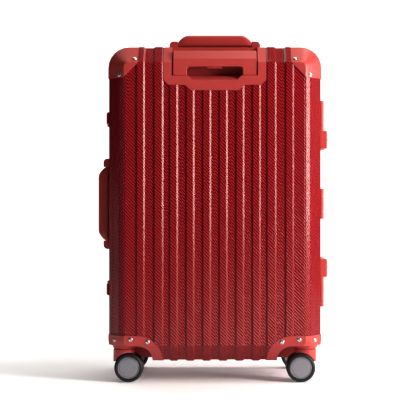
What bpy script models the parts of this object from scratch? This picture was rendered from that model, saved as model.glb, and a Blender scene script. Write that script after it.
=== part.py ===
"""Hard-shell suitcase on four swivelling twin casters, built as separate jointed pieces.

Metres, +Z up.  The trolley side faces -Y, the hinge side +X, the side handle and the two
latches -X.  The origin is the centre of the whole object's box, on the floor.  Meshes are
drawn for the rear half (the trolley half, -Y) and mirrored for the lid.
"""
import math

import bmesh
import bpy
from mathutils import Matrix

# Driving dimensions of the body
BODY_HALF = 0.2098          # half width over the side walls
BODY_LOW = 0.0463           # underside of the shell
BODY_HIGH = 0.6644          # top of the shell
BODY_MIDDLE = (BODY_LOW + BODY_HIGH) / 2
FACE_DEPTH = 0.1325         # parting plane to the flat face
BEVEL = 0.032               # bevel round the face, inwards and backwards
CREASE_IN = 0.0215          # crease on the side bevels, inwards from the side wall
CREASE_BACK = 0.006         # and backwards from the face
# Shell skin down the side bevels: (inwards from the wall, depth), with a groove at each of three lines
SIDE_GROOVES = ((0.0, 0.1005), (0.0077, 0.1098), (0.0092, 0.1102), (0.0093, 0.1118), (0.0207, 0.1255),
                (0.0222, 0.1258), (0.0229, 0.1273), (0.0306, 0.1317), (0.0326, 0.13175), (0.0340, 0.1325))
CORNER_RADIUS = 0.040
CORNER_STEPS = 6
WALL = 0.0022
GAP = 0.0003                # clearance between touching pieces

# Ribs on the shells: distance from the middle and half width, on each side
RIDGES = ((0.0162, 0.00765), (0.0488, 0.00765), (0.0811, 0.00765), (0.1107, 0.0087), (0.1462, 0.00765))
RIDGE_HEIGHT = 0.0022
RIDGE_SLOPE = 0.0017        # how far a rib's sides lean in and out from its half width
RIDGE_ROOT = 0.001          # how far a rib's root is sunk in the wall
RIDGE_END = 0.080           # where the ribs run out on the top and bottom walls
RIDGE_RUN_OUT = 0.007

# Frame, seal, lining
FRAME_DEPTH = 0.012
FRAME_PROUD = 0.003
FRAME_INSET = 0.006
SEAL_HALF = 0.0012
SEAL_INSET = 0.004
SHELL_RIM = FRAME_DEPTH + GAP
LINING_INSET = 0.0037
LINING_THICK = 0.0015
REAR_FLOOR = 0.104          # the rear lining covers the trolley tubes
LID_FLOOR = 0.127

# Corner guards and wheel housings stand this far off the shell
PROUD = 0.0016
GUARD_INNER = 0.1499
GUARD_LOW = 0.6033
GUARD_STEP = 0.030
WELL_X = 0.152              # centre of the quarter-round wheel arch
WELL_Z = 0.0475
WELL_RADIUS = 0.0285
ARCH_RADIUS = 0.049
WELL_BACK = 0.052
LINER = 0.003
ARC_STEPS = 8

# Casters, measured from the floor
CASTER_RISE = 0.0035        # the floor stands this far above the zero of the body's own heights
SWIVEL_X = 0.180
SWIVEL_Y = 0.098
TRAIL = 0.010
WHEEL_RADIUS = 0.0285
CORE_RADIUS = 0.0215
TYRE_BORE = 0.0218
TYRE_HALF = 0.008
TYRE_OFFSET = 0.0145
SHOULDER = 0.0015
AXLE_RADIUS = 0.004
WEB_HALF = 0.0055
HEAD_RADIUS = 0.0215
HEAD_LOW = 0.040
HEAD_HIGH = 0.0657
BOSS_LOW = 0.0695
STEM_RADIUS = 0.0045
STEM_HIGH = 0.0750
TYRE_CLEARANCE = 0.0012
ROUND = 24

# Trolley
BEZEL_STEPS = ((0.101, 0.5985), (0.0905, 0.5885), (0.0585, 0.5885), (0.0475, 0.578))
TRAY_HALF = 0.0844
TRAY_FLOOR = 0.607
TRAY_BACK = 0.0995
NOTCH_HALF = 0.053
NOTCH_HALF_LOW = 0.041
NOTCH_LOW = 0.597
SCOOP_FRONT = -0.140        # the notch slopes from here, where it is deepest,
SCOOP_BACK = -0.118         # to here, level with the tray
SCOOP_LOW = 0.5951
TUBE_X = 0.068
TUBE_Y = -0.119
INNER_TUBE = (0.014, 0.008, 0.001)
MIDDLE_TUBE = (0.018, 0.011, 0.0012)
SLEEVE = (0.022, 0.0146, 0.0015)
SLEEVE_LOW = 0.100
MIDDLE_LOW = 0.130
INNER_LOW = 0.140
GRIP_HALF = 0.082
GRIP_HIGH = 0.657
GRIP_SHOULDER = 0.640
GRIP_FRONT = -0.1325
GRIP_TOP_FRONT = -0.1215
GRIP_BACK = -0.1035
WINDOW_HALF = 0.0547
WINDOW_HIGH = 0.625
BUTTON_HALF = 0.015
BUTTON_LOW = 0.6215
BUTTON_HIGH = 0.6258
POCKET_HIGH = 0.6295

# Carry handles, on the rear half
HANDLE_Y = -0.028
HANDLE_HALF = 0.092
HANDLE_BAR_HALF = 0.075
HANDLE_HALF_WIDTH = 0.013
HANDLE_ENDS = ((0.0545, 0.0), (0.0600, 0.0012), (0.0650, 0.0042), (0.0705, 0.0088), (0.0735, 0.0122), (0.0750, 0.0160))
TOP_BAR = (0.0101, 0.0344)
TOP_LUG = 0.0213
SIDE_BAR = (0.0050, 0.0274)
SIDE_LUG = 0.0165
LUG_HALF_WIDTH = 0.011
LUG_ROUND = 0.008
LUG_ROOF = 0.001
TONGUE_THICK = 0.003
TONGUE_LOW = 0.0024

# Hinges, feet and latches
HINGE_X = 0.220
HINGE_OFFSETS = (-0.181, 0.0, 0.181)
HINGE_HALF = 0.031
KNUCKLE_HALF = 0.0155
BARREL_RADIUS = 0.005
PIN_RADIUS = 0.002
FOOT_REACH = 0.2281
FOOT_OFFSET = 0.130
FOOT_HALF = 0.019
FOOT_INNER = 0.020
FOOT_OUTER = 0.050
LATCH_OFFSET = 0.1753
LATCH_HALF = 0.0150
LEVER_HALF = 0.0110
LATCH_PIVOT_X = -0.2208
LATCH_PIVOT_Y = 0.0455

# The side handle reaches further than the feet, which shifts the body off the box's middle
BODY_X = (BODY_HALF + SIDE_BAR[1] - FOOT_REACH) / 2

FINISHES = {
    "red_shell": ((0.48, 0.004, 0.016), 0.32, 0.0),
    "red_fitting": ((0.34, 0.004, 0.010), 0.38, 0.0),
    "black_webbing": ((0.012, 0.012, 0.013), 0.80, 0.0),
    "black_rubber": ((0.010, 0.010, 0.010), 0.75, 0.0),
    "grey_plastic": ((0.22, 0.22, 0.23), 0.40, 0.0),
    "aluminium": ((0.60, 0.60, 0.61), 0.30, 1.0),
    "lining_fabric": ((0.05, 0.05, 0.055), 0.85, 0.0),
}


# ---------------------------------------------------------------- building blocks

def clear_scene():
    for old in list(bpy.data.objects):
        bpy.data.objects.remove(old, do_unlink=True)


def finish(name):
    """The named finish as a Principled material, made once."""
    known = bpy.data.materials.get(name)
    if known:
        return known
    colour, roughness, metallic = FINISHES[name]
    made = bpy.data.materials.new(name)
    made.use_nodes = True
    shader = made.node_tree.nodes["Principled BSDF"]
    shader.inputs["Base Color"].default_value = (*colour, 1.0)
    shader.inputs["Roughness"].default_value = roughness
    shader.inputs["Metallic"].default_value = metallic
    return made


def skin(rings, closed=False):
    """A closed mesh through rings of equally many points, capped unless it closes on itself."""
    bm = bmesh.new()
    loops = [[bm.verts.new(point) for point in ring] for ring in rings]
    pairs = list(zip(loops, loops[1:]))
    if closed:
        pairs.append((loops[-1], loops[0]))
    for low, high in pairs:
        for i in range(len(low)):
            j = (i + 1) % len(low)
            bm.faces.new((low[i], low[j], high[j], high[i]))
    if not closed:
        bm.faces.new(loops[0])
        bm.faces.new(loops[-1])
    bmesh.ops.recalc_face_normals(bm, faces=bm.faces)
    mesh = bpy.data.meshes.new("skin")
    bm.to_mesh(mesh)
    bm.free()
    return mesh


def prism(outline, y0, y1):
    """An outline of (x, z) points, carried from y0 to y1."""
    return skin([[(x, y, z) for x, z in outline] for y in (y0, y1)])


def block(x0, x1, y0, y1, z0, z1):
    return prism(((x0, z0), (x1, z0), (x1, z1), (x0, z1)), y0, y1)


def circle(radius, height, axis, steps=ROUND):
    """Points round a circle at a height along an axis."""
    points = []
    for step in range(steps):
        angle = math.tau * step / steps
        a, b = radius * math.cos(angle), radius * math.sin(angle)
        points.append({"X": (height, a, b), "Y": (a, height, b), "Z": (a, b, height)}[axis])
    return points


def turned(profile, axis, closed=False, steps=ROUND):
    """A profile of (radius, height) points turned round an axis through the origin."""
    return skin([circle(radius, height, axis, steps) for radius, height in profile], closed)


def rod(radius, low, high, axis, steps=ROUND):
    return turned(((radius, low), (radius, high)), axis, steps=steps)


def moved(mesh, x=0.0, y=0.0, z=0.0):
    mesh.transform(Matrix.Translation((x, y, z)))
    return mesh


def mirrored(mesh, axis):
    """A copy of the mesh reflected in the plane through the origin across an axis."""
    bm = bmesh.new()
    bm.from_mesh(mesh)
    signs = {"X": (-1, 1, 1), "Y": (1, -1, 1)}[axis]
    bmesh.ops.scale(bm, vec=signs, verts=bm.verts)
    bmesh.ops.reverse_faces(bm, faces=bm.faces)
    copy = bpy.data.meshes.new("mirrored")
    bm.to_mesh(copy)
    bm.free()
    return copy


def joined(*meshes):
    """Several bodies in one mesh, for use as a cutter."""
    bm = bmesh.new()
    for mesh in meshes:
        bm.from_mesh(mesh)
    whole = bpy.data.meshes.new("joined")
    bm.to_mesh(whole)
    bm.free()
    return whole


def carved(mesh, *steps):
    """The mesh after each (operation, other mesh) has been worked on it in turn."""
    collection = bpy.context.scene.collection
    work = bpy.data.objects.new("work", mesh)
    collection.objects.link(work)
    helpers = [work]
    for operation, other in steps:
        helper = bpy.data.objects.new("cutter", other)
        collection.objects.link(helper)
        helpers.append(helper)
        modifier = work.modifiers.new(operation, "BOOLEAN")
        modifier.operation = operation
        modifier.object = helper
    graph = bpy.context.evaluated_depsgraph_get()
    result = bpy.data.meshes.new_from_object(work.evaluated_get(graph))
    for helper in helpers:
        bpy.data.objects.remove(helper, do_unlink=True)
    return result


def united(mesh, *others):
    return carved(mesh, *[("UNION", other) for other in others])


def cut(mesh, *others):
    return carved(mesh, *[("DIFFERENCE", other) for other in others])


def place(name, mesh, finish_name, location=(0.0, 0.0, 0.0), turn=0.0, parent=None, smooth=False):
    """One finished piece, placed under the body's centre or another empty."""
    own = mesh.copy()
    own.materials.clear()
    own.materials.append(finish(finish_name))
    if smooth:
        own.shade_smooth()
        own.set_sharp_from_angle(angle=math.radians(35))
    piece = bpy.data.objects.new(name, own)
    bpy.context.scene.collection.objects.link(piece)
    piece.location = location
    piece.rotation_euler = (0.0, 0.0, turn)
    piece.parent = parent or bpy.data.objects["body_centre"]
    return piece


def empty(name, location, turn=0.0, parent=None):
    marker = bpy.data.objects.new(name, None)
    bpy.context.scene.collection.objects.link(marker)
    marker.location = location
    marker.rotation_euler = (0.0, 0.0, turn)
    marker.parent = parent
    return marker


# ---------------------------------------------------------------- body outlines

def outline(inset_x, inset_z, radius, y):
    """A rounded rectangle round the body, drawn in from its sides."""
    half = BODY_HALF - inset_x
    low = BODY_LOW + inset_z
    high = BODY_HIGH - inset_z
    points = []
    for quarter, (side, up) in enumerate(((1, 1), (-1, 1), (-1, -1), (1, -1))):
        centre_x = side * (half - radius)
        centre_z = high - radius if up > 0 else low + radius
        for step in range(CORNER_STEPS + 1):
            angle = (quarter + step / CORNER_STEPS) * math.pi / 2
            points.append((centre_x + radius * math.cos(angle), y, centre_z + radius * math.sin(angle)))
    return points


def offset_chain(points, distance):
    """A chain of 2-D points moved to its left, with mitred corners."""
    normals = []
    for (u0, v0), (u1, v1) in zip(points, points[1:]):
        length = math.hypot(u1 - u0, v1 - v0)
        normals.append(((v0 - v1) / length, (u1 - u0) / length))
    chain = []
    for i, (u, v) in enumerate(points):
        before = normals[max(i - 1, 0)]
        after = normals[min(i, len(normals) - 1)]
        scale = distance / (1 + before[0] * after[0] + before[1] * after[1])
        chain.append((u + (before[0] + after[0]) * scale, v + (before[1] + after[1]) * scale))
    return chain


def envelope_rings(offset, rim):
    """Rings of the rear half's outer form grown by an offset, from its rim to its face."""
    wall_end = FACE_DEPTH - BEVEL
    side = [(0, 0), (0, wall_end), (CREASE_IN, FACE_DEPTH - CREASE_BACK), (BEVEL, FACE_DEPTH), (0.1, FACE_DEPTH)]
    rings = [outline(-offset, -offset, CORNER_RADIUS + offset, -rim)]
    for inset, depth in offset_chain(side, offset)[1:4]:
        inset_z = max(-offset, depth - wall_end - offset * math.sqrt(2))
        rings.append(outline(inset, inset_z, CORNER_RADIUS - (inset + inset_z) / 2, -depth))
    return rings


def grooved_rings(rim):
    """Rings of the shell's outer skin, with three fine grooves down each side bevel."""
    rings = [outline(0.0, 0.0, CORNER_RADIUS, -rim)]
    for inset, depth in SIDE_GROOVES:
        inset_z = depth - FACE_DEPTH + BEVEL
        rings.append(outline(inset, inset_z, CORNER_RADIUS - (inset + inset_z) / 2, -depth))
    return rings


def envelope(offset, rim):
    return skin(envelope_rings(offset, rim))


# ---------------------------------------------------------------- shells, frames, linings

def ridge(x, half_width):
    """One rib from the bottom wall over the face to the top wall."""
    wall_end = FACE_DEPTH - BEVEL
    lower = [(-RIDGE_END, BODY_LOW), (-RIDGE_END - RIDGE_RUN_OUT, BODY_LOW), (-wall_end, BODY_LOW)]
    upper = [(y, BODY_HIGH) for y, _ in reversed(lower)]
    face = [(-FACE_DEPTH, BODY_LOW + BEVEL), (-FACE_DEPTH, BODY_HIGH - BEVEL)]
    chain = lower + face + upper
    root = offset_chain(chain, -RIDGE_ROOT)
    crest = offset_chain(chain, RIDGE_HEIGHT)
    for end in (0, -1):
        crest[end] = offset_chain(chain, RIDGE_HEIGHT / 10)[end]
    rings = []
    for (root_y, root_z), (y, z), (crest_y, crest_z) in zip(root, chain, crest):
        base, top = half_width + RIDGE_SLOPE, half_width - RIDGE_SLOPE
        half = [(base, root_y, root_z), (base, y, z), (top, crest_y, crest_z)]
        right = [(x + dx, ry, rz) for dx, ry, rz in half]
        left = [(x - dx, ry, rz) for dx, ry, rz in reversed(half)]
        rings.append(right + left)
    return skin(rings)


def arch(radius, roof):
    """Quarter-round outline of a wheel arch, open past the corner of the body."""
    beyond = BODY_HALF + 0.04
    points = [(beyond, -0.01), (beyond, roof)]
    for step in range(ARC_STEPS + 1):
        angle = math.pi / 2 * (1 + step / ARC_STEPS)
        points.append((WELL_X + radius * math.cos(angle), WELL_Z + radius * math.sin(angle)))
    points.append((WELL_X - radius, -0.01))
    return points


def both_sides(mesh):
    return joined(mesh, mirrored(mesh, "X"))


def bezel_outline(grow):
    """The trolley bezel's stepped outline, open past the top of the body."""
    right = [(BEZEL_STEPS[0][0] + grow, BODY_HIGH + 0.05)]
    right += [(x + grow, z - grow) for x, z in BEZEL_STEPS]
    return right + [(-x, z) for x, z in reversed(right)]


def shell_mesh(with_trolley):
    walls = skin(list(reversed(envelope_rings(-WALL, SHELL_RIM))) + grooved_rings(SHELL_RIM))
    ribs = joined(*[ridge(side * x, half_width) for x, half_width in RIDGES for side in (-1, 1)])
    under_guards = prism(guard_outline(GAP), -0.2, 0.1)
    shell = united(walls, cut(ribs, both_sides(cut(under_guards, envelope(0.0, -0.1)))))
    well = prism(arch(ARCH_RADIUS + GAP, WELL_Z + ARCH_RADIUS + GAP), -0.2, -WELL_BACK + LINER + GAP)
    shell = cut(shell, both_sides(well))
    if with_trolley:
        shell = cut(shell, prism(bezel_outline(GAP), -0.2, -TRAY_BACK + LINER + GAP))
    return shell


def ring_mesh(outer_inset, inner_inset, y0, y1):
    """A hollow frame between two outlines of the body."""
    rings = []
    for inset, y in ((outer_inset, y0), (outer_inset, y1), (inner_inset, y1), (inner_inset, y0)):
        rings.append(outline(inset, inset, CORNER_RADIUS - inset, y))
    return skin(rings, closed=True)


def lining_solid(inset, rim, floor, clear, with_trolley):
    """The space inside a half, short of the wheel wells and the trolley tray."""
    solid = envelope(-inset, rim)
    solid = carved(solid, ("INTERSECT", block(-0.3, 0.3, -floor, 0.1, -0.1, 0.8)))
    well = prism(arch(ARCH_RADIUS + clear, WELL_Z + ARCH_RADIUS + clear), -0.2, -WELL_BACK + LINER + clear)
    solid = cut(solid, both_sides(well))
    if with_trolley:
        low = BEZEL_STEPS[-1][1] - 0.004 - clear
        half = BEZEL_STEPS[0][0] + 0.003 + clear
        solid = cut(solid, block(-half, half, -0.2, -TRAY_BACK + LINER + clear, low, 0.8))
    return solid


def lining_mesh(floor, with_trolley):
    outer = lining_solid(LINING_INSET, SHELL_RIM + GAP, floor, 0.001, with_trolley)
    thick = LINING_THICK
    inner = lining_solid(LINING_INSET + thick, 0.005, floor - thick, 0.001 + thick, with_trolley)
    return cut(outer, inner)


def strap_mesh():
    """Two crossed webbing straps on the floor of the rear lining."""
    half, low, high, width = 0.165, 0.150, 0.545, 0.0125
    bars = []
    for side in (-1, 1):
        bars.append(prism(((-side * half - width, low), (-side * half + width, low),
                           (side * half + width, high), (side * half - width, high)),
                          -REAR_FLOOR + LINING_THICK + GAP, -REAR_FLOOR + LINING_THICK + 0.002))
    return united(*bars)


def build_halves():
    place("rear_shell", shell_mesh(True), "red_shell", smooth=True)
    place("front_shell", mirrored(shell_mesh(False), "Y"), "red_shell", smooth=True)
    ring = ring_mesh(-FRAME_PROUD, FRAME_INSET, -FRAME_DEPTH, -SEAL_HALF - GAP)
    place("rear_frame", ring, "red_fitting", smooth=True)
    place("front_frame", mirrored(ring, "Y"), "red_fitting", smooth=True)
    place("frame_seal", ring_mesh(0.0, SEAL_INSET, -SEAL_HALF, SEAL_HALF), "black_rubber", smooth=True)
    place("rear_lining", lining_mesh(REAR_FLOOR, True), "lining_fabric")
    place("front_lining", mirrored(lining_mesh(LID_FLOOR, False), "Y"), "lining_fabric")
    place("packing_straps", strap_mesh(), "black_webbing")


# ---------------------------------------------------------------- corners and casters

def guard_outline(grow):
    """Outline of one top corner guard, open past the corner of the body."""
    beyond, inner, low = 0.3, GUARD_INNER - grow, GUARD_LOW - grow
    return ((inner, BODY_HIGH + 0.1), (inner, low + GUARD_STEP), (inner + GUARD_STEP, low), (beyond, low),
            (beyond, BODY_HIGH + 0.1))


def guard_mesh():
    """The cap over one top corner: a skin that stands off the shell."""
    cap = carved(envelope(PROUD, SHELL_RIM), ("INTERSECT", prism(guard_outline(0.0), -0.2, 0.1)))
    return cut(cap, envelope(GAP, 0.0))


def housing_mesh():
    """One wheel housing: an arched band over the corner with the lined wheel well behind it."""
    back = WELL_BACK - LINER
    band = carved(envelope(PROUD, back),
                  ("INTERSECT", prism(arch(ARCH_RADIUS, WELL_Z + ARCH_RADIUS), -0.2, 0.1)),
                  ("DIFFERENCE", prism(arch(WELL_RADIUS, WELL_Z + WELL_RADIUS), -0.2, -WELL_BACK)))
    liner = WELL_RADIUS + LINER
    hollow = cut(envelope(-WALL, 0.02), prism(arch(liner, WELL_Z + liner), -0.2, 0.1))
    housing = cut(band, hollow)
    boss = moved(rod(HEAD_RADIUS, BOSS_LOW, WELL_Z + WELL_RADIUS + 0.001, "Z"), SWIVEL_X, -SWIVEL_Y)
    bore = moved(rod(STEM_RADIUS + GAP, 0.0, 0.2, "Z"), SWIVEL_X, -SWIVEL_Y)
    return cut(united(housing, boss), bore)


def fork_mesh():
    """Caster fork about its swivel axis: stem, round head over the tyres, web down to the axle."""
    head = turned(((HEAD_RADIUS, HEAD_LOW), (HEAD_RADIUS, HEAD_HIGH - 0.002), (HEAD_RADIUS - 0.002, HEAD_HIGH)), "Z")
    clearance = WHEEL_RADIUS + TYRE_CLEARANCE
    wheels = joined(rod(clearance, WEB_HALF, 0.03, "Y", 32), rod(clearance, -0.03, -WEB_HALF, "Y", 32))
    head = cut(head, moved(wheels, -TRAIL, 0.0, WHEEL_RADIUS))
    boss = 0.011
    points = []
    for step in range(ARC_STEPS + 1):
        angle = math.pi * (1 + step / ARC_STEPS)
        points.append((-TRAIL + boss * math.cos(angle), WHEEL_RADIUS + boss * math.sin(angle)))
    points += [(0.018, 0.046), (0.018, 0.060), (-0.018, 0.060)]
    web = prism(points, -WEB_HALF, WEB_HALF)
    stem = rod(STEM_RADIUS, HEAD_HIGH - 0.005, STEM_HIGH, "Z")
    bore = moved(rod(AXLE_RADIUS + GAP, -0.02, 0.02, "Y"), -TRAIL, 0.0, WHEEL_RADIUS)
    return cut(united(head, web, stem), bore)


def core_mesh():
    """Two hub discs on one axle, turned about the axle."""
    outer = TYRE_OFFSET + TYRE_HALF
    inner = TYRE_OFFSET - TYRE_HALF
    half = [(CORE_RADIUS - 0.0012, outer), (CORE_RADIUS, outer - 0.0012), (CORE_RADIUS, inner), (AXLE_RADIUS, inner)]
    return turned([(r, -h) for r, h in half] + list(reversed(half)), "Y")


def tyre_mesh():
    rim = WHEEL_RADIUS - SHOULDER
    half = TYRE_HALF
    profile = [(TYRE_BORE, -half), (rim, -half), (WHEEL_RADIUS, -half + 0.002),
               (WHEEL_RADIUS, half - 0.002), (rim, half), (TYRE_BORE, half)]
    return turned(profile, "Y", closed=True)


def build_corners():
    guard, housing = guard_mesh(), housing_mesh()
    fork, core, tyre = fork_mesh(), core_mesh(), tyre_mesh()
    for half, depth in (("rear", -1), ("front", 1)):
        for hand, side in (("left", -1), ("right", 1)):
            place_corner(f"{half}_{hand}", guard, housing, side, depth)
            place_caster(f"{half}_{hand}", fork, core, tyre, side, depth)


def place_corner(where, guard, housing, side, depth):
    for name, mesh, colour in (("corner_guard", guard, "red_fitting"), ("wheel_housing", housing, "red_fitting")):
        piece = mesh
        if side < 0:
            piece = mirrored(piece, "X")
        if depth > 0:
            piece = mirrored(piece, "Y")
        place(f"{name}_{where}", piece, colour, smooth=True)


def place_caster(where, fork, core, tyre, side, depth):
    turn = 0.0 if side > 0 else math.pi
    swivel = empty(f"swivel_{where}", (side * SWIVEL_X, depth * SWIVEL_Y, CASTER_RISE), turn,
                   bpy.data.objects["body_centre"])
    axle = (-TRAIL, 0.0, WHEEL_RADIUS)
    place(f"caster_fork_{where}", fork, "red_fitting", parent=swivel, smooth=True)
    place(f"wheel_core_{where}", core, "grey_plastic", axle, parent=swivel, smooth=True)
    for label, offset in (("inner", depth * -TYRE_OFFSET * side), ("outer", depth * TYRE_OFFSET * side)):
        place(f"tyre_{where}_{label}", tyre, "black_rubber", (-TRAIL, offset, WHEEL_RADIUS),
              parent=swivel, smooth=True)


# ---------------------------------------------------------------- trolley

def tray_outline(grow, with_notch):
    right = [(TRAY_HALF + grow, BODY_HIGH + 0.06), (TRAY_HALF + grow, TRAY_FLOOR - grow)]
    if with_notch:
        right += [(NOTCH_HALF + grow / 2, TRAY_FLOOR - grow), (NOTCH_HALF_LOW + grow / 2, NOTCH_LOW - grow)]
    return right + [(-x, z) for x, z in reversed(right)]


def scoop_mesh():
    """The finger scoop under the grip: deepest at the front, level with the tray at its back."""
    level = TRAY_FLOOR + 0.0005
    rings = []
    for y, half_low, low in ((SCOOP_FRONT, NOTCH_HALF_LOW, SCOOP_LOW), (SCOOP_BACK, NOTCH_HALF - 0.0005, TRAY_FLOOR)):
        rings.append([(-NOTCH_HALF, y, level), (-half_low, y, low), (half_low, y, low), (NOTCH_HALF, y, level)])
    return skin(rings)


def rectangle(width, depth, z):
    return [(width / 2, depth / 2, z), (-width / 2, depth / 2, z), (-width / 2, -depth / 2, z), (width / 2, -depth / 2, z)]


def tube_mesh(size, low, high):
    """A rectangular tube along Z, open at both ends."""
    width, depth, wall = size
    inner = (width - 2 * wall, depth - 2 * wall)
    return skin([rectangle(width, depth, low), rectangle(width, depth, high),
                 rectangle(*inner, high), rectangle(*inner, low)], closed=True)


def bezel_mesh():
    """Stepped surround and the open-topped tray that the grip sits in."""
    body = carved(envelope(PROUD, TRAY_BACK - LINER), ("INTERSECT", prism(bezel_outline(0), -0.2, 0.1)))
    body = cut(body, prism(tray_outline(0.0, False), -0.2, -TRAY_BACK), scoop_mesh())
    hollow = cut(envelope(-WALL, 0.05), prism(tray_outline(LINER, True), -0.2, 0.1))
    body = cut(body, hollow)
    width, depth, _ = MIDDLE_TUBE
    holes = []
    for side in (-1, 1):
        x = side * TUBE_X
        holes.append(block(x - width / 2 - GAP, x + width / 2 + GAP, TUBE_Y - depth / 2 - GAP,
                           TUBE_Y + depth / 2 + GAP, TRAY_FLOOR - 0.02, TRAY_FLOOR + 0.01))
    return cut(body, joined(*holes))


def sleeves_mesh():
    """Both outer tubes with the two plates that tie them together."""
    high = TRAY_FLOOR - LINER - GAP
    left, right = [moved(tube_mesh(SLEEVE, SLEEVE_LOW, high), side * TUBE_X, TUBE_Y) for side in (-1, 1)]
    back = TUBE_Y + SLEEVE[1] / 2
    plates = [block(-TUBE_X, TUBE_X, back - 0.0005, back + 0.002, z, z + 0.030) for z in (SLEEVE_LOW + 0.01, 0.545)]
    return united(left, plates[0], plates[1], right)


def grip_mesh():
    """The pull grip in its place in the tray: a slanted top, a window for the fingers, a pocket for the button."""
    side = ((GRIP_FRONT, TRAY_FLOOR + GAP), (GRIP_FRONT, GRIP_SHOULDER), (GRIP_TOP_FRONT, GRIP_HIGH),
            (GRIP_BACK, GRIP_HIGH), (GRIP_BACK, TRAY_FLOOR + GAP))
    bar = skin([[(x, y, z) for y, z in side] for x in (-GRIP_HALF, GRIP_HALF)])
    window = prism(((-WINDOW_HALF, 0.5), (WINDOW_HALF, 0.5), (WINDOW_HALF, WINDOW_HIGH - 0.004),
                    (WINDOW_HALF - 0.004, WINDOW_HIGH), (0.004 - WINDOW_HALF, WINDOW_HIGH),
                    (-WINDOW_HALF, WINDOW_HIGH - 0.004)), -0.2, 0.0)
    half = BUTTON_HALF + GAP
    pocket = block(-half, half, -0.126 - GAP, -0.110 + GAP, WINDOW_HIGH - 0.01, POCKET_HIGH)
    return cut(bar, window, pocket)


def build_trolley():
    place("trolley_bezel", bezel_mesh(), "red_fitting")
    place("trolley_sleeves", sleeves_mesh(), "aluminium")
    base = empty("trolley_base", (0.0, TUBE_Y, TRAY_FLOOR), parent=bpy.data.objects["body_centre"])
    grip = moved(grip_mesh(), 0.0, -TUBE_Y, -TRAY_FLOOR)
    place("trolley_grip", grip, "red_fitting", parent=base)
    button = block(-BUTTON_HALF, BUTTON_HALF, -0.126, -0.110, BUTTON_LOW, BUTTON_HIGH)
    place("trolley_button", moved(button, 0.0, -TUBE_Y, -TRAY_FLOOR), "red_fitting", parent=base)
    inner = tube_mesh(INNER_TUBE, INNER_LOW - TRAY_FLOOR, 0.0)
    middle = tube_mesh(MIDDLE_TUBE, MIDDLE_LOW - TRAY_FLOOR, -0.0005)
    for hand, side in (("left", -1), ("right", 1)):
        place(f"inner_tube_{hand}", inner, "aluminium", (side * TUBE_X, 0.0, 0.0), parent=base)
        place(f"middle_tube_{hand}", middle, "aluminium", (side * TUBE_X, 0.0, 0.0), parent=base)


# ---------------------------------------------------------------- carry handles

def handle_meshes(bar, lug_high):
    """Grip and one lug, lying along X on a wall at z = 0, the pull direction +Z."""
    low, high = bar
    stations = [(x, drop) for x, drop in HANDLE_ENDS]
    rings = []
    for x, drop in [(-x, drop) for x, drop in reversed(stations)] + stations:
        half_height = (high - drop - low) / 2
        half_width = HANDLE_HALF_WIDTH - drop / 5
        ring = []
        for step in range(16):
            angle = math.tau * (step + 0.5) / 16
            bulge = abs(math.cos(angle)) ** 0.6, abs(math.sin(angle)) ** 0.6
            ring.append((x, math.copysign(bulge[0], math.cos(angle)) * half_width,
                         low + half_height + math.copysign(bulge[1], math.sin(angle)) * half_height))
        rings.append(ring)
    grip = skin(rings)
    leg_inner, leg_outer = HANDLE_BAR_HALF - 0.009, HANDLE_BAR_HALF - 0.002
    tongue_end = HANDLE_HALF - 0.004
    for side in (-1, 1):
        leg = block(*sorted((side * leg_inner, side * leg_outer)), -0.006, 0.006, TONGUE_LOW, low + 0.003)
        tongue = block(*sorted((side * (leg_inner + 0.001), side * tongue_end)), -0.0055, 0.0055,
                       TONGUE_LOW, TONGUE_LOW + TONGUE_THICK)
        grip = united(grip, leg, tongue)
    inner = HANDLE_BAR_HALF + GAP
    side_view = [(inner, GAP), (HANDLE_HALF, GAP)]
    for step in range(6):
        angle = math.pi / 2 * step / 5
        side_view.append((HANDLE_HALF - LUG_ROUND * (1 - math.cos(angle)), lug_high - LUG_ROUND * (1 - math.sin(angle))))
    side_view.append((inner, lug_high))
    lug = prism(side_view, -LUG_HALF_WIDTH, LUG_HALF_WIDTH)
    slot = block(inner - 0.01, HANDLE_HALF - 0.0025, -0.006, 0.006, TONGUE_LOW - GAP, lug_high - LUG_ROOF)
    return grip, cut(lug, slot)


def build_handles():
    grip, lug = handle_meshes(TOP_BAR, TOP_LUG)
    top = (0.0, HANDLE_Y, BODY_HIGH)
    place("top_handle_grip", grip, "red_fitting", top, smooth=True)
    place("top_handle_lug_right", lug, "red_fitting", top)
    place("top_handle_lug_left", mirrored(lug, "X"), "red_fitting", top)
    grip, lug = handle_meshes(SIDE_BAR, SIDE_LUG)
    stand_up = Matrix.Rotation(-math.pi / 2, 4, "Y")
    side = (-BODY_HALF, HANDLE_Y, BODY_MIDDLE)
    for name, mesh, colour in (("side_handle_grip", grip, "red_fitting"),
                               ("side_handle_lug_upper", lug, "red_fitting"),
                               ("side_handle_lug_lower", mirrored(lug, "X"), "red_fitting")):
        mesh.transform(stand_up)
        place(name, mesh, colour, side, smooth=name.endswith("grip"))


# ---------------------------------------------------------------- hinges, feet and latches

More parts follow.
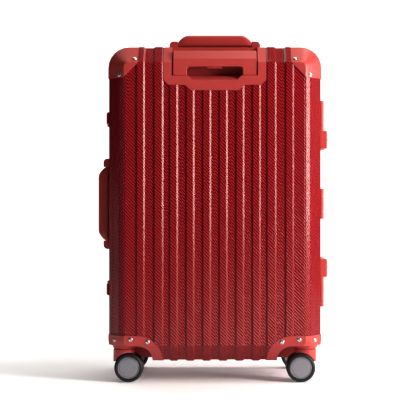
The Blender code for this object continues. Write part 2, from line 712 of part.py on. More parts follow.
def hinge_meshes():
    """Rear leaf with the pin and the end knuckles, and lid leaf with the middle knuckle."""
    inner, outer = BODY_HALF + FRAME_PROUD + GAP - HINGE_X, -0.003
    near, far = BARREL_RADIUS + GAP, FRAME_DEPTH - 0.0005
    rear = block(inner, outer, -far, -near, -HINGE_HALF, HINGE_HALF)
    knuckles = []
    for low, high in ((-HINGE_HALF, -KNUCKLE_HALF - GAP), (KNUCKLE_HALF + GAP, HINGE_HALF)):
        knuckles.append(rod(BARREL_RADIUS, low, high, "Z"))
        knuckles.append(block(inner, outer, -near - 0.0005, -0.001, low, high))
    rear = united(rear, *knuckles, rod(PIN_RADIUS, -HINGE_HALF, HINGE_HALF, "Z", 16))
    lid = block(inner, outer, near, far, -HINGE_HALF, HINGE_HALF)
    arm = block(inner, outer, 0.001, near + 0.0005, -KNUCKLE_HALF, KNUCKLE_HALF)
    lid = united(lid, arm, rod(BARREL_RADIUS, -KNUCKLE_HALF, KNUCKLE_HALF, "Z"))
    return rear, cut(lid, rod(PIN_RADIUS + GAP, -0.05, 0.05, "Z", 16))


def foot_mesh():
    """A side foot on the lid half: a low block whose edges are chamfered."""
    inner = BODY_HALF + GAP
    slope = 0.003
    rings = []
    for x, draw_in in ((inner, 0.0), (FOOT_REACH - 0.002, 0.001), (FOOT_REACH, slope)):
        y0, y1, z = FOOT_INNER + draw_in, FOOT_OUTER - draw_in, FOOT_HALF - draw_in
        rings.append([(x, y0, -z), (x, y1, -z), (x, y1, z), (x, y0, z)])
    return skin(rings)


def latch_meshes():
    """Base and lever about the lever's pivot, which runs along Z."""
    wall = -BODY_HALF - GAP - LATCH_PIVOT_X
    deck = 0.0027
    base = block(deck, wall, 0.016 - LATCH_PIVOT_Y, -0.005, -LATCH_HALF, LATCH_HALF)
    for low, high in ((-LATCH_HALF, -LEVER_HALF - 0.0005), (LEVER_HALF + 0.0005, LATCH_HALF)):
        ear = prism(((wall, low), (-0.0025, low), (-0.0025, high), (wall, high)), 0.016 - LATCH_PIVOT_Y, 0.005)
        base = united(base, ear)
    pin = 0.0012
    base = cut(base, rod(pin + GAP, -0.05, 0.05, "Z", 16))
    outline_xy = ((0.0018, 0.0010), (0.0010, 0.0019), (-0.0012, 0.0019), (-0.0022, 0.0005), (-0.0022, -0.0540),
                  (-0.0005, -0.0560), (0.0010, -0.0560), (0.0023, -0.0545), (0.0023, -0.0030))
    lever = skin([[(x, y, z) for x, y in outline_xy] for z in (-LEVER_HALF, LEVER_HALF)])
    lever = united(lever, rod(pin, -LATCH_HALF + 0.0005, LATCH_HALF - 0.0005, "Z", 16))
    return base, lever


def build_fittings():
    rear_leaf, lid_leaf = hinge_meshes()
    for level, offset in zip(("lower", "middle", "upper"), HINGE_OFFSETS):
        at = (HINGE_X, 0.0, BODY_MIDDLE + offset)
        place(f"hinge_{level}_rear_leaf", rear_leaf, "red_fitting", at, smooth=True)
        place(f"hinge_{level}_lid_leaf", lid_leaf, "red_fitting", at, smooth=True)
    foot = foot_mesh()
    base, lever = latch_meshes()
    for level, up in (("lower", -1), ("upper", 1)):
        height = (0.0, 0.0, BODY_MIDDLE + up * FOOT_OFFSET)
        place(f"side_foot_front_{level}", foot, "red_fitting", height)
        place(f"side_foot_rear_{level}", mirrored(foot, "Y"), "red_fitting", height)
        pivot = (LATCH_PIVOT_X, LATCH_PIVOT_Y, BODY_MIDDLE + up * LATCH_OFFSET)
        place(f"latch_base_{level}", base, "red_fitting", pivot)
        place(f"latch_lever_{level}", lever, "red_fitting", pivot)


def main():
    clear_scene()
    empty("body_centre", (BODY_X, 0.0, -CASTER_RISE))
    build_halves()
    build_corners()
    build_trolley()
    build_handles()
    build_fittings()


main()
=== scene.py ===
"""Red hard-shell suitcase: the surfaces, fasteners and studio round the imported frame."""

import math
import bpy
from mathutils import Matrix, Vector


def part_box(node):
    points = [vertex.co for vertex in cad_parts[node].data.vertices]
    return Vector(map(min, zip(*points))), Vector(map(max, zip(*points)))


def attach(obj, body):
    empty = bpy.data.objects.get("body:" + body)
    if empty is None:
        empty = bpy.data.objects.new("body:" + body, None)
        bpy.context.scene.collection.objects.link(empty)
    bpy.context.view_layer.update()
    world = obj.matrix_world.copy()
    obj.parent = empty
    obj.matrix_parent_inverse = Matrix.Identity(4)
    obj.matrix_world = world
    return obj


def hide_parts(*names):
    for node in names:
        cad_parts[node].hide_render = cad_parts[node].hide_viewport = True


bl_info = {
    "name": "Hard-Shell Suitcase",
    "version": (1, 0, 0),
    "blender": (4, 5, 0),
    "location": "View3D > Sidebar > Suitcase",
    "description": "Finishes a jointed hard-shell suitcase with embossed shells, rivets and wheels",
    "category": "Add Mesh",
}

import bmesh
import bpy
from mathutils import Vector

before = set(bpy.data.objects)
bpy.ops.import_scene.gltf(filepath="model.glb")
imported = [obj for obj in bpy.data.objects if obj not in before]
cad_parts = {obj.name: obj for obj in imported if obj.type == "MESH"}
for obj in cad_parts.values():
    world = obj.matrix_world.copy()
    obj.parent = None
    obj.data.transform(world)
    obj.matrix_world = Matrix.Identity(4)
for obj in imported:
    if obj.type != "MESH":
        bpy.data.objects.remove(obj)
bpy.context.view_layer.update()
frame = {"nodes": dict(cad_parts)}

SIDES = {"left": -1, "right": 1}        # which way each lies along x
HALVES = {"rear": -1, "front": 1}       # and along y
BODY_OF_HALF = {"rear": "rear_half", "front": "lid_half"}


def node_box(name):
    """Lowest corner, highest corner and middle of a CAD node."""
    low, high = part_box(name)
    return low, high, (low + high) / 2


# The middle of the body isn't at x = 0, because the side handle counts in the whole case's box
_, SHELL_HIGH, SHELL_MIDDLE = node_box("front_shell")
BODY_X = SHELL_MIDDLE.x

OUTSIDE = 1.0               # a place well clear of the case, for lines that look for its surface
WELD_GAP = 0.00001          # vertices of a CAD node this close are one
BEVEL_ANGLE = math.radians(28)
ARM_SHARE = 0.45            # the most of a profile's straight length that one rounded corner may take

# A rivet head: how deep it sits, how high its upright rim is, and its dome in rivet radii out and up
RIVET_SINK = 0.0004
RIVET_RIM = 0.0003
RIVET_DOME = ((0.93, 0.16), (0.74, 0.29), (0.48, 0.36), (0.30, 0.37), (0.20, 0.29), (0.05, 0.27))
RIVET_STEPS = 20


# ---------------------------------------------------------------- what a user may change

class SuitcaseSizes(bpy.types.PropertyGroup):
    """Sizes of the surface detail and the small hardware."""
    stripe_pitch: bpy.props.FloatProperty(
        name="Stripe pitch", description="Distance between the embossed diagonal stripes",
        default=0.0047, min=0.001, max=0.02, unit="LENGTH", precision=4)
    stripe_depth: bpy.props.FloatProperty(
        name="Stripe depth", description="Depth of the embossed stripes",
        default=0.0007, min=0.0, max=0.002, unit="LENGTH", precision=5)
    rivet_radius: bpy.props.FloatProperty(
        name="Rivet radius",
        description="Radius of the rivets on corners and housings, the foot screws and the latch locks",
        default=0.0044, min=0.001, max=0.01, unit="LENGTH", precision=4)
    small_rivet_radius: bpy.props.FloatProperty(
        name="Small rivet radius", description="Radius of the rivets on the hinges",
        default=0.0027, min=0.001, max=0.01, unit="LENGTH", precision=4)
    edge_round: bpy.props.FloatProperty(
        name="Edge rounding", description="Rounding of the edges of the corners and wheel housings",
        default=0.0007, min=0.0001, max=0.003, unit="LENGTH", precision=4)


class SuitcaseColours(bpy.types.PropertyGroup):
    """Colours of the finishes."""
    shell: bpy.props.FloatVectorProperty(
        name="Shell", description="Colour of the embossed shells", subtype="COLOR",
        size=3, min=0.0, max=1.0, default=(0.32, 0.010, 0.016))
    fittings: bpy.props.FloatVectorProperty(
        name="Fittings", description="Colour of corners, housings, handles, hinges and trolley bezel",
        subtype="COLOR", size=3, min=0.0, max=1.0, default=(0.46, 0.070, 0.066))
    frame: bpy.props.FloatVectorProperty(
        name="Frame", description="Colour of the frame rings", subtype="COLOR",
        size=3, min=0.0, max=1.0, default=(0.30, 0.010, 0.012))
    rubber: bpy.props.FloatVectorProperty(
        name="Rubber", description="Colour of the tyres and the seal", subtype="COLOR",
        size=3, min=0.0, max=1.0, default=(0.012, 0.012, 0.013))
    hub: bpy.props.FloatVectorProperty(
        name="Hub", description="Colour of the wheel discs", subtype="COLOR",
        size=3, min=0.0, max=1.0, default=(0.28, 0.275, 0.31))
    lining: bpy.props.FloatVectorProperty(
        name="Lining", description="Colour of the cloth lining", subtype="COLOR",
        size=3, min=0.0, max=1.0, default=(0.045, 0.045, 0.05))


def sizes():
    """The scene's sizes."""
    return bpy.context.scene.suitcase_sizes


def colours():
    """The scene's colours."""
    return bpy.context.scene.suitcase_colours


# ---------------------------------------------------------------- shader maths

class Wire:
    """A node's output that takes part in Python expressions, which add Math nodes."""

    def __init__(self, sheet, socket):
        self.sheet = sheet
        self.socket = socket

    def maths(self, operation, other=None, swap=False):
        """A Math node on this wire, and on another wire or number where it takes two."""
        operands = [self.socket] if other is None else [self.socket, getattr(other, "socket", other)]
        if swap:
            operands.reverse()
        return self.sheet.node("ShaderNodeMath", {"operation": operation}, dict(enumerate(operands)))

    def __add__(self, other):
        return self.maths("ADD", other)

    __radd__ = __add__

    def __sub__(self, other):
        return self.maths("SUBTRACT", other)

    def __rsub__(self, other):
        return self.maths("SUBTRACT", other, swap=True)

    def __mul__(self, other):
        return self.maths("MULTIPLY", other)

    __rmul__ = __mul__

    def __gt__(self, other):
        return self.maths("GREATER_THAN", other)

    def __abs__(self):
        return self.maths("ABSOLUTE")

    def sine(self):
        return self.maths("SINE")

    def sign(self):
        return self.maths("SIGN")


class Sheet:
    """The nodes of one material or of the world, added by short calls."""

    def __init__(self, owner, shader="Principled BSDF"):
        owner.use_nodes = True
        self.owner = owner
        self.nodes = owner.node_tree.nodes
        self.links = owner.node_tree.links
        self.shader = self.nodes[shader]

    def node(self, kind, settings, inputs, output=0):
        """A node of any type: its settings first, then the values or links of its sockets."""
        made = self.nodes.new(kind)
        for key, value in settings.items():
            setattr(made, key, value)
        for key, value in inputs.items():
            self.feed(made.inputs[key], value)
        return Wire(self, made.outputs[output])

    def feed(self, socket, value):
        """Gives a socket a link or a value. Colours may be given without their alpha."""
        value = getattr(value, "socket", value)
        if isinstance(value, bpy.types.NodeSocket):
            self.links.new(value, socket)
        elif socket.type == "RGBA" and len(value) == 3:
            socket.default_value = (*value, 1.0)
        else:
            socket.default_value = value

    def set(self, **values):
        """Gives the shader's own sockets their links or values, written as Base_Color=..."""
        for key, value in values.items():
            self.feed(self.shader.inputs[key.replace("_", " ")], value)

    def split(self, coordinates):
        """A kind of texture coordinates as three wires: x, y and z."""
        whole = self.node("ShaderNodeTexCoord", {}, {}, coordinates)
        return [self.node("ShaderNodeSeparateXYZ", {}, {"Vector": whole}, axis) for axis in "XYZ"]

    def noise(self, scale, detail=2.0, stretch=(1.0, 1.0, 1.0)):
        """Noise over the object, in cells per metre, stretched along its axes."""
        where = self.node("ShaderNodeTexCoord", {}, {}, "Object")
        mapped = self.node("ShaderNodeMapping", {}, {"Vector": where, "Scale": stretch})
        return self.node("ShaderNodeTexNoise", {}, {"Vector": mapped, "Scale": scale, "Detail": detail})

    def blend(self, factor, first, second):
        """A colour between two colours. The Mix node's colour sockets are known by number only."""
        return self.node("ShaderNodeMix", {"data_type": "RGBA"}, {0: factor, 6: first, 7: second}, 2)

    def bump(self, height, distance, before=None):
        """A bumped normal, on top of another one if that is given."""
        inputs = {"Height": height, "Distance": distance, "Strength": 1.0}
        if before:
            inputs["Normal"] = before
        return self.node("ShaderNodeBump", {}, inputs)


# ---------------------------------------------------------------- finishes

THREAD_PITCH = 0.0011       # of the lining's weave
WEBBING_PITCH = 0.0022      # of the ribs across a strap


def shade(colour, factor):
    """A colour made darker or lighter."""
    return tuple(min(1.0, channel * factor) for channel in colour)


def mottled(sheet, pattern, colour, dark, light):
    """A colour that runs from a darker to a lighter shade of itself with a pattern."""
    return sheet.blend(pattern, shade(colour, dark), shade(colour, light))


def embossed_red(sheet):
    """Shell skin: 45-degree embossed stripes that run on over the bevels to the sides and the top, with the
    stripes' shade and highlight also painted into the colour.
    """
    x, y, z = sheet.split("Object")
    facing_x, _, facing_z = sheet.split("Normal")
    sideways = abs(facing_x) > abs(facing_z)
    turn = sideways * facing_x.sign() + (1 - sideways) * facing_z.sign()
    depth = SHELL_HIGH.y - abs(y)
    phase = (x + z + depth * turn) * (math.tau / (sizes().stripe_pitch * math.sqrt(2)))
    stripe_relief_and_shade = sheet.node("ShaderNodeMapRange", {"interpolation_type": "SMOOTHSTEP"},
                        {"Value": phase.sine(), "From Min": -0.7, "From Max": 0.7})
    grain = sheet.noise(900.0, 3.0)
    # The stripes drive the base colour as well as the bump: darker in their grooves and lighter on their
    # crests, a painted shade and painted highlight of the embossing on top of the real relief.
    sheet.set(Base_Color=mottled(sheet, stripe_relief_and_shade, colours().shell, 0.27, 1.36),
              Roughness=grain * 0.05 + 0.17, Specular_IOR_Level=0.42,
              Normal=sheet.bump(stripe_relief_and_shade, sizes().stripe_depth, sheet.bump(grain, 0.00003)))


def satin_red(sheet):
    """Moulded and painted fittings: a very fine grain and slightly uneven gloss."""
    grain = sheet.noise(1400.0, 3.0)
    cloud = sheet.noise(18.0, 2.0)
    sheet.set(Base_Color=mottled(sheet, cloud, colours().fittings, 0.93, 1.07),
              Roughness=cloud * 0.06 + grain * 0.06 + 0.28, Specular_IOR_Level=0.35,
              Normal=sheet.bump(grain, 0.00004))


def frame_red(sheet):
    """Painted aluminium frame with a faint drawn grain."""
    grain = sheet.noise(260.0, 2.0, (1.0, 12.0, 1.0))
    sheet.set(Base_Color=mottled(sheet, grain, colours().frame, 0.9, 1.1),
              Roughness=grain * 0.12 + 0.26, Metallic=0.35, Normal=sheet.bump(grain, 0.00003))


def rivet_steel(sheet):
    """Bare steel with fine wear."""
    scratch = sheet.noise(1500.0, 2.0)
    sheet.set(Base_Color=sheet.blend(scratch, (0.36, 0.37, 0.39), (0.62, 0.63, 0.65)),
              Roughness=scratch * 0.15 + 0.18, Metallic=1.0)


def tyre_rubber(sheet):
    """Matt black rubber with a fine grain."""
    grain = sheet.noise(1100.0, 3.0)
    sheet.set(Base_Color=mottled(sheet, grain, colours().rubber, 0.7, 1.5),
              Roughness=grain * 0.15 + 0.42, Normal=sheet.bump(grain, 0.00006))


def hub_plastic(sheet):
    """Satin grey plastic with a fine grain."""
    grain = sheet.noise(1600.0, 2.0)
    sheet.set(Base_Color=mottled(sheet, grain, colours().hub, 0.93, 1.07),
              Roughness=grain * 0.08 + 0.34, Metallic=0.15, Normal=sheet.bump(grain, 0.00003))


def tube_aluminium(sheet):
    """Drawn tube: long fine scratches up and down."""
    grain = sheet.noise(900.0, 3.0, (1.0, 1.0, 0.02))
    sheet.set(Base_Color=sheet.blend(grain, (0.50, 0.50, 0.52), (0.68, 0.68, 0.70)),
              Roughness=grain * 0.15 + 0.24, Metallic=1.0, Normal=sheet.bump(grain, 0.00002))


def lining_cloth(sheet):
    """Plain-woven lining."""
    x, _, z = sheet.split("Object")
    thread = math.tau / THREAD_PITCH
    weave = (x * thread).sine() * (z * thread).sine() * 0.5 + 0.5
    sheet.set(Base_Color=mottled(sheet, weave, colours().lining, 0.7, 1.4),
              Roughness=0.82, Normal=sheet.bump(weave, 0.00015))


def strap_webbing(sheet):
    """Woven webbing with ribs across the strap."""
    x, _, z = sheet.split("Object")
    ribs = ((x + z) * (math.tau / WEBBING_PITCH)).sine() * 0.5 + 0.5
    sheet.set(Base_Color=sheet.blend(ribs, (0.010, 0.010, 0.011), (0.030, 0.030, 0.032)),
              Roughness=0.75, Normal=sheet.bump(ribs, 0.0003))


def seal_rubber(sheet):
    """Soft black rubber of the seal."""
    grain = sheet.noise(700.0, 2.0)
    sheet.set(Base_Color=mottled(sheet, grain, colours().rubber, 0.8, 1.6), Roughness=0.62)


MAKERS = {maker.__name__: maker for maker in (
    embossed_red, satin_red, frame_red, rivet_steel, tyre_rubber, hub_plastic, tube_aluminium,
    lining_cloth, strap_webbing, seal_rubber)}
FINISHES = {}


def finish(name):
    """The material of a finish, made the first time it is asked for."""
    if name not in FINISHES:
        sheet = Sheet(bpy.data.materials.new(name))
        MAKERS[name](sheet)
        FINISHES[name] = sheet.owner
    return FINISHES[name]


# ---------------------------------------------------------------- mesh work

def add_object(name, data):
    """A new object in the scene."""
    made = bpy.data.objects.new(name, data)
    bpy.context.scene.collection.objects.link(made)
    return made


def smooth_mesh(name, bm, material):
    """A smooth-shaded mesh from a bmesh, which is used up."""
    mesh = bpy.data.meshes.new(name)
    bm.to_mesh(mesh)
    bm.free()
    mesh.shade_smooth()
    mesh.materials.append(material)
    return mesh


def piece(name, bm, finish_name, body, sharp_angle=35.0):
    """A finished object from a bmesh, riding on a body."""
    bmesh.ops.recalc_face_normals(bm, faces=bm.faces)
    mesh = smooth_mesh(name, bm, finish(finish_name))
    mesh.set_sharp_from_angle(angle=math.radians(sharp_angle))
    made = add_object(name, mesh)
    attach(made, body)
    return made


def dress(node, finish_name, edge=0.0, segments=2):
    """A CAD node kept as it is, with its finish and rounded edges."""
    made = frame["nodes"][node]
    made.data.materials.clear()
    made.data.materials.append(finish(finish_name))
    weld = made.modifiers.new("Weld", "WELD")
    weld.merge_threshold = WELD_GAP
    if edge:
        bevel = made.modifiers.new("Edges", "BEVEL")
        bevel.width = edge
        bevel.segments = segments
        bevel.limit_method = "ANGLE"
        bevel.angle_limit = BEVEL_ANGLE
        bevel.harden_normals = True
    normals = made.modifiers.new("Normals", "WEIGHTED_NORMAL")
    normals.keep_sharp = True
    made.data.shade_smooth()
    return made


def turn_profile(bm, profile, centre, axis, steps, closed=False):
    """Adds a profile of (radius, height) points turned about an axis through a centre."""
    lean = Vector((0, 0, 1)).rotation_difference(Vector(axis)).to_matrix()
    rings = []
    for radius, height in profile:
        ring = []
        for step in range(steps):
            angle = math.tau * step / steps
            spot = Vector((radius * math.cos(angle), radius * math.sin(angle), height))
            ring.append(bm.verts.new(Vector(centre) + lean @ spot))
        rings.append(ring)
    pairs = list(zip(rings, rings[1:]))
    if closed:
        pairs.append((rings[-1], rings[0]))
    for low, high in pairs:
        for i in range(steps):
            j = (i + 1) % steps
            bm.faces.new((low[i], low[j], high[j], high[i]))
    if not closed:
        bm.faces.new(rings[0])
        bm.faces.new(rings[-1])


def rounded(profile, radius, steps):
    """A chain of 2-D points with every corner between its two ends rounded."""
    result = [profile[0]]
    for before, corner, after in zip(profile, profile[1:], profile[2:]):
        corner_point = Vector(corner)
        arm_in = Vector(before) - corner_point
        arm_out = Vector(after) - corner_point
        reach = min(radius, arm_in.length * ARM_SHARE, arm_out.length * ARM_SHARE)
        start = corner_point + arm_in.normalized() * reach
        end = corner_point + arm_out.normalized() * reach
        for step in range(steps + 1):
            t = step / steps
            spot = start * (1 - t) ** 2 + corner_point * 2 * t * (1 - t) + end * t ** 2
            result.append((spot.x, spot.y))
    result.append(profile[-1])
    return result


def on_surface(node, start, along):
    """Point and outward direction where a line first meets a CAD node."""
    met, spot, out, _ = node.ray_cast(Vector(start), Vector(along))
    if not met:
        raise RuntimeError(f"no surface of {node.name} from {start} along {along}")
    return spot, out


def rivets(name, body, spots, radius):
    """One piece of domed rivet heads with a shallow dimple, one at each spot."""
    foot = [(radius, -RIVET_SINK), (radius, RIVET_RIM)]
    dome = [(radius * out, radius * up) for out, up in RIVET_DOME]
    bm = bmesh.new()
    for spot, out in spots:
        turn_profile(bm, foot + dome, spot, out.normalized(), RIVET_STEPS)
    piece(name, bm, "rivet_steel", body)


def side_rivets(name, body, node, side, places, radius):
    """Rivets set in a node from one side of the case, at places given as (y, z)."""
    spots = [on_surface(node, (side * OUTSIDE, y, z), (-side, 0, 0)) for y, z in places]
    rivets(name, body, spots, radius)


# ---------------------------------------------------------------- operators: one for each group of pieces

class SUITCASE_OT_shells(bpy.types.Operator):
    """Embossed finish on the two shells, painted frame rings and the seal between them"""
    bl_idname = "suitcase.shells"
    bl_label = "Shells and frame"

    def execute(self, context):
        for half in HALVES:
            dress(f"{half}_shell", "embossed_red", 0.0006)
            dress(f"{half}_frame", "frame_red", 0.0008)
        dress("frame_seal", "seal_rubber")
        return {"FINISHED"}


class SUITCASE_OT_corners(bpy.types.Operator):
    """Corner guards and wheel housings with their rivets"""
    bl_idname = "suitcase.corners"
    bl_label = "Corners and housings"

    # Each rivet: the axis it is set along, and its places on the two other axes. They are counted from the
    # body's middle in x, from the parting plane in y and from the floor in z.
    GUARD_MARKS = (("y", 0.1576, 0.6370), ("y", 0.1879, 0.6057), ("x", 0.060, 0.6057),
                   ("z", 0.160, 0.040), ("z", 0.160, 0.085))
    HOUSING_MARKS = (("y", 0.1317, 0.0811), ("y", 0.1652, 0.0858), ("y", 0.1980, 0.0831), ("x", 0.066, 0.0835))

    def execute(self, context):
        marks_of = {"corner_guard": self.GUARD_MARKS, "wheel_housing": self.HOUSING_MARKS}
        for half, depth in HALVES.items():
            for hand, side in SIDES.items():
                where = f"{half}_{hand}"
                spots = []
                for kind, marks in marks_of.items():
                    node = dress(f"{kind}_{where}", "satin_red", sizes().edge_round)
                    spots += [self.spot(node, mark, side, depth) for mark in marks]
                rivets(f"rivets_{where}", BODY_OF_HALF[half], spots, sizes().rivet_radius)
        return {"FINISHED"}

    def spot(self, node, mark, side, depth):
        """Place and direction of one rivet: where a line along its axis meets the node from outside."""
        axis, first, second = mark
        start, along = {
            "x": ((side * OUTSIDE, depth * first, second), (-side, 0, 0)),
            "y": ((BODY_X + side * first, depth * OUTSIDE, second), (0, -depth, 0)),
            "z": ((BODY_X + side * first, depth * second, OUTSIDE), (0, 0, -1))}[axis]
        return on_surface(node, start, along)


class SUITCASE_OT_wheels(bpy.types.Operator):
    """Caster forks, hub discs and tyres"""
    bl_idname = "suitcase.wheels"
    bl_label = "Wheels"
    TYRE_BORE = 0.0218          # radius of a tyre's hole
    TYRE_SHOULDER = 0.0032      # width of the slope between a tyre's side and its tread
    DISC_REACH = 0.016          # from a hub disc's outer face to its inner one

    def execute(self, context):
        for half in HALVES:
            for hand in SIDES:
                where = f"{half}_{hand}"
                dress(f"caster_fork_{where}", "satin_red", 0.0006)
                self.build_core(where)
                for wheel in ("inner", "outer"):
                    self.build_tyre(f"{where}_{wheel}", where)
        return {"FINISHED"}

    def build_tyre(self, label, where):
        """A tyre with sloped shoulders and a fine line round the middle of its tread."""
        low, high, middle = node_box(f"tyre_{label}")
        radius, half = (high.z - low.z) / 2, (high.y - low.y) / 2
        profile = [(self.TYRE_BORE, -half + 0.0006), (self.TYRE_BORE + 0.001, -half),
                   (radius - self.TYRE_SHOULDER, -half), (radius - 0.0009, -half + 0.0016),
                   (radius, -half + 0.0038), (radius - 0.0002, -0.0012), (radius - 0.0010, -0.0007)]
        profile += [(out, -along) for out, along in reversed(profile)]
        bm = bmesh.new()
        turn_profile(bm, rounded(profile, 0.0012, 3), middle, (0, 1, 0), 72, closed=True)
        made = piece(f"tread_{label}", bm, "tyre_rubber", f"wheels_{where}", 50.0)
        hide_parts(f"tyre_{label}")

    def build_core(self, where):
        """Two flat discs, each with a groove inside its rim, and the axle between them."""
        low, high, middle = node_box(f"wheel_core_{where}")
        radius, outer = (high.z - low.z) / 2, (high.y - low.y) / 2
        inner = outer - self.DISC_REACH
        profile = [(0.0002, outer - 0.0012), (0.0100, outer - 0.0012), (0.0180, outer - 0.0010),
                   (0.0188, outer - 0.0018), (0.0194, outer - 0.0018), (0.0200, outer - 0.0004),
                   (radius - 0.0008, outer - 0.0002), (radius, outer - 0.0012),
                   (radius, inner), (0.0060, inner), (0.0038, inner - 0.0008)]
        profile += [(out, -along) for out, along in reversed(profile)]
        bm = bmesh.new()
        turn_profile(bm, rounded(profile, 0.0005, 2), middle, (0, 1, 0), 64)
        made = piece(f"hub_{where}", bm, "hub_plastic", f"wheels_{where}", 40.0)
        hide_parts(f"wheel_core_{where}")


class SUITCASE_OT_trolley(bpy.types.Operator):
    """Trolley bezel, pull grip, button and tubes"""
    bl_idname = "suitcase.trolley"
    bl_label = "Trolley"

    def execute(self, context):
        dress("trolley_bezel", "satin_red", 0.0008)
        dress("trolley_grip", "satin_red", 0.0014, 3)
        dress("trolley_button", "satin_red", 0.0005)
        dress("trolley_sleeves", "tube_aluminium")
        for hand in SIDES:
            dress(f"inner_tube_{hand}", "tube_aluminium", 0.0008)
            dress(f"middle_tube_{hand}", "tube_aluminium", 0.0008)
        return {"FINISHED"}


class SUITCASE_OT_handles(bpy.types.Operator):
    """Top and side carry handles with their lugs"""
    bl_idname = "suitcase.handles"
    bl_label = "Carry handles"

    def execute(self, context):
        for handle, ends in (("top_handle", ("left", "right")), ("side_handle", ("upper", "lower"))):
            dress(f"{handle}_grip", "satin_red", 0.0006)
            for end in ends:
                dress(f"{handle}_lug_{end}", "satin_red", 0.0009)
        return {"FINISHED"}


class SUITCASE_OT_fittings(bpy.types.Operator):
    """Hinges, side feet and latches"""
    bl_idname = "suitcase.fittings"
    bl_label = "Hinges, feet and latches"
    LEAF_Y = 0.0086             # from the hinge line to the rivets of a hinge leaf
    LEAF_RISE = 0.0225          # from the middle of a leaf up or down to its rivets

    def execute(self, context):
        for level in ("lower", "middle", "upper"):
            for leaf, depth in (("rear", -1), ("lid", 1)):
                name = f"hinge_{level}_{leaf}_leaf"
                node = dress(name, "satin_red", 0.0004)
                middle = node_box(name)[2]
                places = [(depth * self.LEAF_Y, middle.z + up * self.LEAF_RISE) for up in (-1, 1)]
                side_rivets(f"hinge_rivets_{level}_{leaf}", f"{leaf}_half", node, 1, places,
                            sizes().small_rivet_radius)
        for level in ("lower", "upper"):
            for half in HALVES:
                self.build_part(f"side_foot_{half}_{level}", 0.0008, 1,
                                f"side_foot_screw_{half}_{level}", BODY_OF_HALF[half])
            dress(f"latch_base_{level}", "satin_red", 0.0004)
            self.build_part(f"latch_lever_{level}", 0.0004, -1, f"latch_lock_{level}", f"latch_{level}")
        return {"FINISHED"}

    def build_part(self, name, edge, side, rivet_name, body):
        """A part with one rivet in the middle of its outer face."""
        node = dress(name, "satin_red", edge)
        middle = node_box(name)[2]
        side_rivets(rivet_name, body, node, side, [(middle.y, middle.z)], sizes().rivet_radius)


class SUITCASE_OT_inside(bpy.types.Operator):
    """Cloth linings and packing straps"""
    bl_idname = "suitcase.inside"
    bl_label = "Inside"

    def execute(self, context):
        for half in HALVES:
            dress(f"{half}_lining", "lining_cloth")
        dress("packing_straps", "strap_webbing")
        return {"FINISHED"}


# ---------------------------------------------------------------- studio

# Name, place, point it faces, watts, width and height of each lamp
LAMPS = (
    ("right_strip", (2.10, -1.22, 1.05), (0.0, -0.13, 0.50), 98.0, 0.64, 1.7),
    ("right_rim", (2.3, -0.05, 1.0), (0.2, -0.05, 0.36), 18.0, 0.40, 1.6),
    ("top", (0.5, -0.42, 2.4), (0.0, -0.13, 0.6), 18.0, 1.4, 0.5),
    ("backdrop", (0.0, 1.3, 3.4), (0.0, 3.6, 0.6), 160.0, 4.0, 1.5),
)
LAMP_COLOUR = (1.0, 0.95, 0.88)
WORLD_LIGHT = 0.02          # light from all round
BACKGROUND = 0.85           # how bright the same world looks past the floor
GAMMA = 0.78

FLOOR_HALF = 2.6            # half width
FLOOR_FRONT = -2.2
FLOOR_BACK = 3.0            # where it starts to curve up
FLOOR_SWEEP = 1.2           # radius of the curve
FLOOR_TOP = 6.0
FLOOR_STEPS = 16
FLOOR_DROP = 0.0002         # below the tyres, so that they don't share a surface

CAMERA_LENS = 108.2
CAMERA_SHIFT = (-0.0163, -0.0156)
CAMERA_BACK = 2.5825        # from the parting plane
CAMERA_RISE = 0.3565


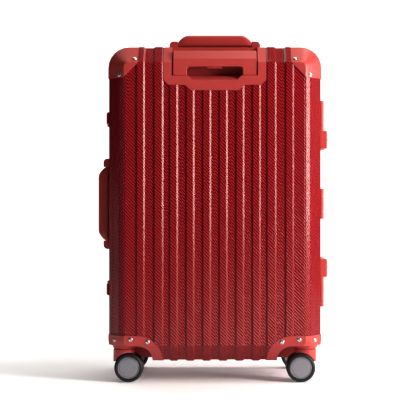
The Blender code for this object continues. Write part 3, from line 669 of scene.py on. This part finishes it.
class SUITCASE_OT_stage(bpy.types.Operator):
    """White floor and backdrop, soft lights and the camera"""
    bl_idname = "suitcase.stage"
    bl_label = "Studio"

    def execute(self, context):
        self.build_floor()
        self.build_lights()
        self.build_camera()
        context.scene.view_settings.view_transform = "Standard"
        context.scene.view_settings.gamma = GAMMA
        return {"FINISHED"}

    def build_floor(self):
        """A floor that curves up into the backdrop behind the lid."""
        path = [(FLOOR_FRONT, 0.0)]
        for step in range(FLOOR_STEPS + 1):
            angle = math.pi / 2 * step / FLOOR_STEPS
            path.append((FLOOR_BACK + FLOOR_SWEEP * math.sin(angle), FLOOR_SWEEP * (1 - math.cos(angle))))
        path.append((FLOOR_BACK + FLOOR_SWEEP, FLOOR_TOP))
        bm = bmesh.new()
        left, right = [[bm.verts.new((x, y, z - FLOOR_DROP)) for y, z in path]
                       for x in (-FLOOR_HALF, FLOOR_HALF)]
        for i in range(len(path) - 1):
            bm.faces.new((left[i], right[i], right[i + 1], left[i + 1]))
        sheet = Sheet(bpy.data.materials.new("studio_white"))
        sheet.set(Base_Color=(0.90, 0.93, 0.97), Roughness=0.9,
                  Emission_Color=(1.0, 1.0, 1.0), Emission_Strength=0.15)
        add_object("floor", smooth_mesh("floor", bm, sheet.owner))

    def build_lights(self):
        """The lamps, and a world that is pale to look at but gives little light."""
        world = bpy.data.worlds.new("studio")
        bpy.context.scene.world = world
        sky = Sheet(world, "Background")
        seen = sky.node("ShaderNodeLightPath", {}, {}, "Is Camera Ray")
        sky.set(Color=(1.0, 1.0, 1.0), Strength=seen * (BACKGROUND - WORLD_LIGHT) + WORLD_LIGHT)
        for name, place, aim, power, width, height in LAMPS:
            light = bpy.data.lights.new(name, "AREA")
            light.shape = "RECTANGLE"
            light.size = width
            light.size_y = height
            light.energy = power
            light.color = LAMP_COLOUR
            lamp = add_object(name, light)
            lamp.location = place
            lamp.rotation_euler = (Vector(aim) - Vector(place)).to_track_quat("-Z", "Y").to_euler()

    def build_camera(self):
        """A long lens level with the middle of the case, square to the trolley side."""
        camera = bpy.data.cameras.new("camera")
        camera.lens = CAMERA_LENS
        camera.shift_x, camera.shift_y = CAMERA_SHIFT
        camera.clip_end = 50.0
        holder = add_object("camera", camera)
        holder.location = (BODY_X, -CAMERA_BACK, CAMERA_RISE)
        holder.rotation_euler = (math.pi / 2, 0.0, 0.0)
        bpy.context.scene.camera = holder


# ---------------------------------------------------------------- panel and registration

GROUPS = (SUITCASE_OT_stage, SUITCASE_OT_shells, SUITCASE_OT_corners, SUITCASE_OT_wheels, SUITCASE_OT_trolley,
          SUITCASE_OT_handles, SUITCASE_OT_fittings, SUITCASE_OT_inside)


class SUITCASE_PT_panel(bpy.types.Panel):
    """Buttons for each group of pieces, and the sizes and colours they use"""
    bl_idname = "SUITCASE_PT_panel"
    bl_label = "Suitcase"
    bl_space_type = "VIEW_3D"
    bl_region_type = "UI"
    bl_category = "Suitcase"

    def draw(self, context):
        for group in (context.scene.suitcase_sizes, context.scene.suitcase_colours):
            for name in group.__annotations__:
                self.layout.prop(group, name)
        for operator in GROUPS:
            self.layout.operator(operator.bl_idname)


CLASSES = (SuitcaseSizes, SuitcaseColours, *GROUPS, SUITCASE_PT_panel)


def register():
    for item in CLASSES:
        bpy.utils.register_class(item)
    bpy.types.Scene.suitcase_sizes = bpy.props.PointerProperty(type=SuitcaseSizes)
    bpy.types.Scene.suitcase_colours = bpy.props.PointerProperty(type=SuitcaseColours)


def unregister():
    del bpy.types.Scene.suitcase_colours
    del bpy.types.Scene.suitcase_sizes
    for item in reversed(CLASSES):
        bpy.utils.unregister_class(item)


def main():
    register()
    bpy.ops.suitcase.stage()
    bpy.ops.suitcase.shells()
    bpy.ops.suitcase.corners()
    bpy.ops.suitcase.wheels()
    bpy.ops.suitcase.trolley()
    bpy.ops.suitcase.handles()
    bpy.ops.suitcase.fittings()
    bpy.ops.suitcase.inside()


if __name__ == "__main__":
    main()
